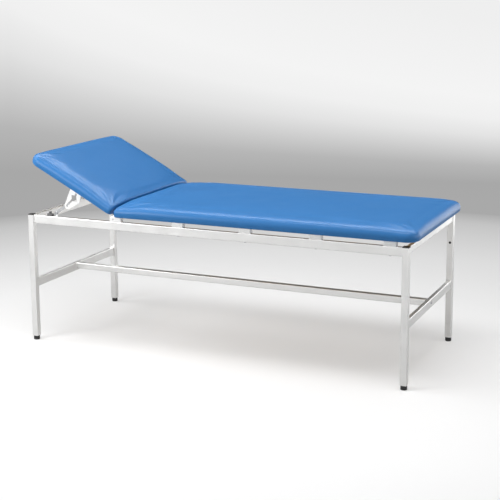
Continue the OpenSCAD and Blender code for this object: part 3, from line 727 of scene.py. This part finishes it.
@dataclass
class Pad:
    """One upholstered pad: smooth vinyl drawn over foam and a board, and stapled below.

    It is made flat, with its seam end at -X and its middle at X = 0, and then put in its place.
    Its outline has a point at about every step, and an arc of that many points round half a
    corner.
    """

    name: str
    body: str
    nodes: tuple[str, str]
    seam: SeamEnd
    tilt_deg: float = 0.0
    middle_x: float = field(init=False)
    underside: float = field(init=False)
    length: float = field(init=False)
    width: float = field(init=False)
    thick: float = field(init=False)
    corner: float = 0.058
    least_corner: float = 0.012
    seam_corner: float = 0.014
    seam_corner_growth: float = 0.6
    step: float = 0.013
    arc: int = 4
    ring_count: int = 36
    edge_samples: int = 401
    edge_window: int = 9
    draw_in: float = 0.003
    crown_power: float = 2.0
    crown_growth: float = 1.2
    droop: float = 0.013
    outer_droop_share: float = 0.5
    droop_reach: float = 0.18
    ripple: float = 0.00035
    wave_phases: Point = (1.3, 0.4, 0.7)
    wave_drift: float = 2.1
    hem_rise: float = 0.0045
    cloth_frames: int = 20
    cloth_quality: int = 3
    cloth_pressure: float = 4.0
    cloth_mass: float = 0.3
    stretch_stiffness: float = 25.0
    bend_stiffness: float = 4.0
    swell: float = 0.004
    inward_share: float = 0.3

    def __post_init__(self) -> None:
        """Takes the pad's place and size from its cover's solid."""
        low, high = flat_box(self.nodes[0], self.tilt_deg)
        self.middle_x, self.underside = (low[0] + high[0]) / 2, low[2]
        self.length, self.width, self.thick = high - low

    def profile(self) -> tuple[np.ndarray, np.ndarray, np.ndarray]:
        """Section of the edge, with straight runs between its knots and eased corners.

        Returns:
            Inset from the outline along the sides and the outer end, inset beside the seam, and
            height over the board's underside, with a value for each ring.
        """
        run = np.hypot(np.diff(SIDE_IN_MM), np.diff(RISE_MM))
        run = np.concatenate([[0], np.cumsum(run)])
        even = np.linspace(0, run[-1], self.edge_samples)
        pick = np.linspace(0, self.edge_samples - 1, self.ring_count).round().astype(int)
        return tuple(eased(np.interp(even, run, knots), self.edge_window)[pick] * MM
                     for knots in (SIDE_IN_MM, SEAM_IN_MM, RISE_MM))

    def outline(self, inset: np.ndarray, seam_inset: np.ndarray, nx: int, ny: int) -> np.ndarray:
        """Rounded rectangles at several insets, with the same number of points each.

        A point goes along a straight side, or round the half of a corner's arc that belongs to its
        side, by its share of 45 degrees. The end beside the seam has its own inset and corner
        radius, and a long side is drawn in by 1 - t * t, where t runs from -1 to 1 along it.

        Args:
            inset: Distance of each ring from the outline along the sides and the outer end.
            seam_inset: The same beside the seam.
            nx: Number of steps along a long side, corners included.
            ny: Number of steps along an end, corners included.

        Returns:
            Plan positions, one row of points for each ring, the seam's end at -X.
        """
        half_w = (self.width / 2 - inset)[:, None]
        ends = (seam_inset - self.length / 2)[:, None], (self.length / 2 - inset)[:, None]
        radii = ((self.seam_corner + self.seam_corner_growth * seam_inset)[:, None],
                 np.clip(self.corner - inset, self.least_corner, None)[:, None])
        rings = []
        # The sides go round from the near one to the outer end, the far side and the seam's end.
        for side, n in enumerate((nx, ny, nx, ny)):
            t = np.arange(n)[None, :]
            along = np.clip((t - self.arc) / (n - 2 * self.arc), 0, 1)
            first = np.pi / 4 * np.clip(1 - t / self.arc, 0, 1)
            last = np.pi / 4 * np.clip((t - n + self.arc) / self.arc, 0, 1)
            if side % 2 == 0:
                r_from, r_to = radii if side == 0 else radii[::-1]
                x_from, x_to = ends[0] + radii[0], ends[1] - radii[1]
                if side == 2:
                    x_from, x_to = x_to, x_from
                sign = 1 if side == 0 else -1
                x = (x_from + (x_to - x_from) * along
                     + sign * (r_to * np.sin(last) - r_from * np.sin(first)))
                y = -sign * (half_w - r_from * (1 - np.cos(first)) - r_to * (1 - np.cos(last))
                             - self.draw_in * (1 - (2 * along - 1) ** 2))
            else:
                sign = 1 if side == 1 else -1
                r = radii[1] if side == 1 else radii[0]
                x = ends[side % 3] - sign * r * (2 - np.cos(first) - np.cos(last))
                y = sign * ((half_w - r) * (2 * along - 1) + r * (np.sin(last) - np.sin(first)))
            rings.append(np.stack(np.broadcast_arrays(x, y), -1))
        return np.concatenate(rings, 1)

    def placed(self, points: np.ndarray) -> np.ndarray:
        """Puts points of the flat pad in their place on the table.

        Args:
            points: Points, one in each row.

        Returns:
            The points mirrored where the seam is at the other end, moved along and raised.
        """
        there = points * (-self.seam.value, 1, 1) + (self.middle_x, 0, 0)
        return turned_about_y(there, HINGE, math.radians(self.tilt_deg))

    def build(self) -> bpy.types.Object:
        """Makes the pad's vinyl as one closed, crowned form.

        Returns:
            The piece, riding on its body.
        """
        inset, seam_inset, height = self.profile()
        nx, ny = round(self.length / self.step), round(self.width / self.step)
        plan = self.outline(inset, seam_inset, nx, ny)
        z = np.broadcast_to((height + self.underside)[:, None, None], (*plan.shape[:2], 1))
        points, faces = self.closed(np.concatenate([plan, z], -1), nx, ny)
        points = self.placed(self.drooped(self.rippled(points)))
        piece = Shell([points], faces).as_object(self.name)
        self.inflate(piece)
        smooth = piece.modifiers.new("smooth", "SUBSURF")
        smooth.levels = smooth.render_levels = 1
        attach(piece, self.body)
        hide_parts(*self.nodes)
        return piece

    def drooped(self, points: np.ndarray) -> np.ndarray:
        """Lets the corners down, as foam does where the vinyl is pulled over two edges at once.

        The drop is d c^2 (3 - 2c) h, where c falls from 1 at a corner to 0 at the droop's reach,
        and h is the square of a point's height as a share of the pad's thickness. The depth d is
        less at the outer end's corners.

        Args:
            points: Places in the flat pad.

        Returns:
            The places with lower corners.
        """
        away = np.hypot(np.abs(np.abs(points[:, 0]) - self.length / 2),
                        np.abs(np.abs(points[:, 1]) - self.width / 2))
        near = 1 - np.clip(away / self.droop_reach, 0, 1)
        depth = np.where(points[:, 0] < 0, self.droop, self.outer_droop_share * self.droop)
        share = np.clip((points[:, 2] - self.underside) / self.thick, 0, 1) ** 2
        lowered = points.copy()
        lowered[:, 2] -= depth * near ** 2 * (3 - 2 * near) * share
        return lowered

    def inflate(self, piece: bpy.types.Object) -> None:
        """Swells the vinyl by a short cloth simulation, pinned where it is stapled to the board.

        Each point then keeps its own way, but goes no further than the swell: its distance d
        becomes s tanh(d / s). What moves inwards goes 30% of that way, because foam holds it.

        Args:
            piece: The pad's vinyl, without modifiers.
        """
        mesh = piece.data
        start, normals, moved = (np.empty(3 * len(mesh.vertices)) for _ in range(3))
        mesh.vertices.foreach_get("co", start)
        mesh.vertices.foreach_get("normal", normals)
        start, normals = start.reshape(-1, 3), normals.reshape(-1, 3)
        flat = turned_about_y(start, HINGE, -math.radians(self.tilt_deg))
        stapled = np.nonzero(flat[:, 2] < self.underside + self.hem_rise)[0]
        piece.vertex_groups.new(name="stapled").add(stapled.tolist(), 1.0, "REPLACE")
        cloth = piece.modifiers.new("cloth", "CLOTH")
        settings = cloth.settings
        settings.quality, settings.mass = self.cloth_quality, self.cloth_mass
        settings.tension_stiffness = settings.compression_stiffness = self.stretch_stiffness
        settings.bending_stiffness = self.bend_stiffness
        settings.use_pressure, settings.uniform_pressure_force = True, self.cloth_pressure
        settings.effector_weights.gravity = 0.0
        settings.vertex_group_mass = "stapled"
        scene = bpy.context.scene
        for step in range(self.cloth_frames):
            scene.frame_set(step + 1)
        swollen = piece.evaluated_get(bpy.context.evaluated_depsgraph_get()).to_mesh()
        swollen.vertices.foreach_get("co", moved)
        shift = moved.reshape(-1, 3) - start
        reach = np.linalg.norm(shift, axis=1, keepdims=True)
        LOG.info("cloth moved %s by up to %.1f mm", self.name, reach.max() / MM)
        shift *= self.swell * np.tanh(reach / self.swell) / np.maximum(reach, STILL)
        outward = (shift * normals).sum(1, keepdims=True)
        shift -= (1 - self.inward_share) * np.minimum(outward, 0.0) * normals
        piece.modifiers.remove(cloth)
        piece.vertex_groups.clear()
        scene.frame_set(1)
        mesh.vertices.foreach_set("co", (start + shift).ravel())
        mesh.update()

    def rippled(self, points: np.ndarray) -> np.ndarray:
        """Gives the skin the faint, broad waves of vinyl drawn tight by hand.

        The depth is a product of two sines, with lengths of 270 mm along X and 383 mm along Y,
        plus half of a second one, with 119 and 170 mm, whose first sine drifts along Y. It fades
        to none at the board's underside, and moves the top up and down and the long sides out
        and in.

        Args:
            points: The pad's points before it is put in its place.

        Returns:
            The moved points.
        """
        x, y, z = points.T
        # Each wave's length over 2 pi, and the lengths along which the waves fade.
        long_x, long_y, short_x, short_y, drift_y = 0.043, 0.061, 0.019, 0.027, 0.11
        fade_z, side_start, side_fade = 0.4 * self.thick, 0.3, 0.08
        phase_x, phase_y, short_phase = self.wave_phases
        drift = self.wave_drift * np.sin(y / drift_y)
        wave = (np.sin(x / long_x + phase_x) * np.sin(y / long_y + phase_y)
                + np.sin(x / short_x + drift) * np.cos(y / short_y + short_phase) * 0.5)
        depth = self.ripple * wave * smooth_step((z - self.underside) / fade_z)
        moved = points.copy()
        moved[:, 2] += depth
        moved[:, 1] += depth * np.sign(y) * smooth_step((np.abs(y) - side_start) / side_fade)
        return moved

    def crowned_top(self, border: np.ndarray, nx: int, ny: int) -> np.ndarray:
        """Fills the top's border with a crowned grid.

        A point is the Coons blend of the four border lines: the two blends between opposite sides,
        less the blend of the four corners. It is lifted by the crown,
        (1 - |x / a| ** p) (1 - |y / b| ** q), with the longer side's power greater.

        Args:
            border: Points of the last ring.
            nx: Steps along a long side.
            ny: Steps along an end.

        Returns:
            A grid of nx + 1 by ny + 1 points.
        """
        south = border[:nx + 1]
        east = border[nx:nx + ny + 1]
        north = border[nx + ny:2 * nx + ny + 1][::-1]
        west = np.concatenate([border[2 * nx + ny:], border[:1]])[::-1]
        s = np.linspace(0, 1, nx + 1)[:, None, None]
        t = np.linspace(0, 1, ny + 1)[None, :, None]
        top = ((1 - t) * south[:, None] + t * north[:, None] + (1 - s) * west[None] + s * east[None]
               - (1 - s) * (1 - t) * south[0] - s * (1 - t) * south[-1]
               - (1 - s) * t * north[0] - s * t * north[-1])
        low, high = border[:, 0].min(), border[:, 0].max()
        a, b = (high - low) / 2, np.abs(border[:, 1]).max()
        p, q = (self.crown_power * max(1.0, ratio) ** self.crown_growth for ratio in (a / b, b / a))
        crown = ((1 - np.abs((top[..., 0] - (low + high) / 2) / a) ** p)
                 * (1 - np.abs(top[..., 1] / b) ** q))
        top[..., 2] += (self.underside + self.thick - border[0, 2]) * np.clip(crown, 0, 1)
        return top

    def closed(self, rings: np.ndarray, nx: int, ny: int) -> tuple[np.ndarray, list[list[int]]]:
        """Closes the rings with a crowned top, and with a flat face inside the board.

        The top's border is the last ring, whose points its grid shares.

        Args:
            rings: Points of the rings, one row each.
            nx: Steps along a long side.
            ny: Steps along an end.

        Returns:
            All points, and all faces.
        """
        n_rings, n = rings.shape[:2]
        top = self.crowned_top(rings[-1], nx, ny)
        index = np.full((nx + 1, ny + 1), -1)
        last = (n_rings - 1) * n
        index[:, 0] = last + np.arange(nx + 1)
        index[nx, :] = last + nx + np.arange(ny + 1)
        index[:, ny] = last + nx + ny + np.arange(nx, -1, -1)
        index[0, 1:] = last + 2 * nx + ny + np.arange(ny - 1, -1, -1)
        index[1:-1, 1:-1] = n_rings * n + np.arange((nx - 1) * (ny - 1)).reshape(nx - 1, ny - 1)
        quads = np.stack([index[:-1, :-1], index[1:, :-1], index[1:, 1:], index[:-1, 1:]], -1)
        # The face inside the board is strips between its long sides, and one face at each end.
        k = np.arange(1, nx - 1)
        far = 2 * nx + ny - k
        strips = np.stack([k, far, far - 1, k + 1], -1)
        ends = [[*range(2 * nx + ny - 1, n), 0, 1][::-1], [*range(nx - 1, nx + ny + 2)][::-1]]
        faces = (ring_quads(n_rings, n).tolist() + quads.reshape(-1, 4).tolist()
                 + strips.tolist() + ends)
        return np.concatenate([rings.reshape(-1, 3), top[1:-1, 1:-1].reshape(-1, 3)]), faces


# Welds and staples


@dataclass
class WeldedFrame:
    """The weld beads where the frame's tubes meet its legs."""

    rails: tuple[str, ...] = ("side_rail_near", "side_rail_far")
    crossbars: tuple[str, ...] = ("top_crossbar_head", "top_crossbar_foot",
                                  "lower_crossbar_head", "lower_crossbar_foot")
    corner: float = 0.003
    corner_points: int = 7
    bead: float = 0.0017
    bead_rings_each: int = 96
    bead_sides: int = 8
    ripple_length: float = 0.0024
    ripple_share: float = 0.12

    def joints(self) -> list[tuple[np.ndarray, np.ndarray, float, float]]:
        """Lists the twelve joints, one at each end of each tube.

        The rails run along axis 0, which is X, and the crossbars along axis 1, which is Y.

        Returns:
            For each, the middle of the tube's end, the way across it, its width and its height.
        """
        ends = [(name, 0, end) for end in (0, 1) for name in self.rails]
        ends += [(name, 1, end) for name in self.crossbars for end in (0, 1)]
        found = []
        for name, axis, end in ends:
            box = flat_box(name)
            middle, size = (box[0] + box[1]) / 2, box[1] - box[0]
            middle[axis] = box[end][axis]
            found.append((middle, np.eye(3)[1 - axis], size[1 - axis], size[2]))
        return found

    def bead_rings(self, middle: np.ndarray, across: np.ndarray, width: float,
                   height: float) -> np.ndarray:
        """A bead round a tube's end: a small circle carried along the tube's outline.

        The outline is a rectangle whose corners are quarter circles. Its points are the corners'
        middles plus the corner radius times (cos a, sin a). The bead's radius swells and shrinks
        by 12% as the welder's hand did, r (1 + 0.12 sin(2 pi s / l)), with s along the outline.

        Args:
            middle: Middle of the tube's end.
            across: Direction of the tube's width.
            width: Width of the tube.
            height: Height of the tube.

        Returns:
            Rings of points along the closed path.
        """
        n = self.corner_points
        turn = np.radians(np.concatenate([np.linspace(k * 90, k * 90 + 90, n) for k in range(4)]))
        sign_u = np.repeat([1, -1, -1, 1], n) * (width / 2 - self.corner)
        sign_v = np.repeat([1, 1, -1, -1], n) * (height / 2 - self.corner)
        u, v = sign_u + self.corner * np.cos(turn), sign_v + self.corner * np.sin(turn)
        u, v = np.append(u, u[0]), np.append(v, v[0])
        run = np.concatenate([[0], np.cumsum(np.hypot(np.diff(u), np.diff(v)))])
        even = np.linspace(0, run[-1], self.bead_rings_each + 1)[:-1]
        path = np.stack([np.interp(even, run, u), np.interp(even, run, v)], -1)
        ahead = np.roll(path, -1, 0) - np.roll(path, 1, 0)
        ahead /= np.linalg.norm(ahead, axis=1, keepdims=True)
        swing = np.sin(even / self.ripple_length * 2 * math.pi)
        radius = self.bead * (1 + self.ripple_share * swing)
        angle = np.linspace(0, 2 * math.pi, self.bead_sides, endpoint=False)
        out = np.stack([ahead[:, 1], -ahead[:, 0]], -1)[:, None] * np.cos(angle)[None, :, None]
        flat = path[:, None] + out * radius[:, None, None]
        depth = radius[:, None] * np.sin(angle)
        up = np.array([0, 0, 1.0])
        normal = np.cross(across, up)
        return middle + flat[..., :1] * across + flat[..., 1:] * up + depth[..., None] * normal

    def build(self) -> bpy.types.Object:
        """Makes all beads as one piece.

        Returns:
            The piece, riding on the frame.
        """
        shell = Shell()
        for joint in self.joints():
            shell.add_rings(self.bead_rings(*joint), closed_path=True)
        piece = shell.as_object("frame_weld_beads")
        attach(piece, "frame")
        return piece


@dataclass
class Staples:
    """The staples that hold a pad's hem to the underside of its board.

    None lies within the clearance of what is screwed to the board at the places in clear_of.
    """

    pad: Pad
    clear_of: tuple[float, ...] = ()
    clearance: float = 0.05
    pitch: float = 0.055
    inset: float = 0.03
    side_margins: tuple[float, float] = (0.05, 0.04)
    end_margins: tuple[float, float] = (0.06, 0.05)
    crown: float = 0.01
    leg: float = 0.002
    bend: float = 0.0006
    stand: float = 0.0003
    wire: float = 0.0007
    wire_sides: int = 6

    def places(self) -> np.ndarray:
        """Lists the staples along the long sides and the outer end.

        Returns:
            Rows of x, y, and the cos and sin of the crown's direction, in the flat pad.
        """
        half_l, half_w = self.pad.length / 2 - self.inset, self.pad.width / 2 - self.inset
        x = np.arange(-half_l + self.side_margins[0], half_l - self.side_margins[1], self.pitch)
        y = np.arange(-half_w + self.end_margins[0], half_w - self.end_margins[1], self.pitch)
        world = -self.pad.seam.value * x + self.pad.middle_x
        gaps = np.abs(world[:, None] - np.array(self.clear_of))
        x = x[(gaps >= self.clearance).all(1)]
        rows = [np.stack([x, np.full_like(x, side * half_w), np.ones_like(x), np.zeros_like(x)], -1)
                for side in (-1, 1)]
        rows.append(np.stack([np.full_like(y, half_l), y, np.zeros_like(y), np.ones_like(y)], -1))
        return np.concatenate(rows)

    def build(self) -> bpy.types.Object:
        """Makes the staples as one piece.

        Each is a wire that runs down from the board, along its crown and back up. Its rings are
        the path's points plus half the wire's thickness times (cos a, sin a), with the cosine
        along the outside of each bend.

        Returns:
            The piece, riding on the pad's body.
        """
        half, low = self.crown / 2, -self.stand - self.bend
        path = np.array([[-half, self.leg], [-half, -self.stand], [-half + self.bend, low],
                         [half - self.bend, low], [half, -self.stand], [half, self.leg]])
        out = np.array([[-1, 0], [-1, 0], [-0.7, -0.7], [0.7, -0.7], [1, 0], [1, 0]])
        angle = np.linspace(0, 2 * math.pi, self.wire_sides, endpoint=False)
        shell = Shell()
        for x, y, c, s in self.places():
            along = path[:, None, 0] + out[:, None, 0] * np.cos(angle) * self.wire / 2
            z = path[:, None, 1] + out[:, None, 1] * np.cos(angle) * self.wire / 2
            side = np.sin(angle) * self.wire / 2
            shell.add_rings(np.stack([x + along * c - side * s, y + along * s + side * c,
                                      z + self.pad.underside], -1))
        shell.points = [self.pad.placed(points) for points in shell.points]
        piece = shell.as_object(self.pad.name.replace("vinyl", "staples"))
        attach(piece, self.pad.body)
        return piece


# The table


def dress_cad_nodes(materials: Mapping[str, bpy.types.Material]) -> None:
    """Gives every CAD node the finish of its material slot.

    Args:
        materials: The finished material of each slot.
    """
    for name, node in frame["nodes"].items():
        given = [material.name for material in node.data.materials if material]
        slot = next((key for key in materials if given and given[0].startswith(key)), None)
        LOG.info("node %s: %s", name, slot or given)
        if slot:
            for place in node.material_slots:
                place.material = materials["tilted_plywood" if name == "head_board" else slot]


def main_blocks_x() -> tuple[float, ...]:
    """Finds the blocks below the main board, which are all as long as the hinge block.

    Returns:
        Places along X of the hinge block's middle and of each spacer block's.
    """
    (hinge_low, *_), (hinge_high, *_) = flat_box("hinge_block_near")
    (first, *_), (last, *_) = flat_box("spacer_blocks_near")
    half = (hinge_high - hinge_low) / 2
    return hinge_low + half, *np.linspace(first + half, last - half, BLOCK_COUNT)


def main() -> None:
    """Builds the camera, the studio and every sub-assembly in order."""
    logging.basicConfig(level=logging.INFO, format="%(name)s: %(message)s")
    StudioCamera().build()
    Studio().build()
    materials = {slot: finish.build() for slot, finish in FINISHES.items()}
    materials["tilted_plywood"] = HEAD_BOARD_FINISH.build()
    dress_cad_nodes(materials)
    main_pad = Pad("main_pad_vinyl", "frame", ("main_cover", "main_foam"), SeamEnd.HEAD)
    head_pad = Pad("head_pad_vinyl", "head_section", ("head_cover", "head_foam"), SeamEnd.FOOT,
                   RAISED_DEG)
    makers = (
        (main_pad, "vinyl"), (head_pad, "vinyl"), (WeldedFrame(), "frame_coating"),
        (Staples(main_pad, main_blocks_x()), "zinc_steel"),
        (Staples(head_pad, HEAD_FITTINGS_X), "zinc_steel"),
    )
    for maker, slot in makers:
        piece = maker.build()
        piece.data.materials.append(materials[slot])
        LOG.info("piece %s: %d faces", piece.name, len(piece.data.polygons))


if __name__ == "__main__":
    main()
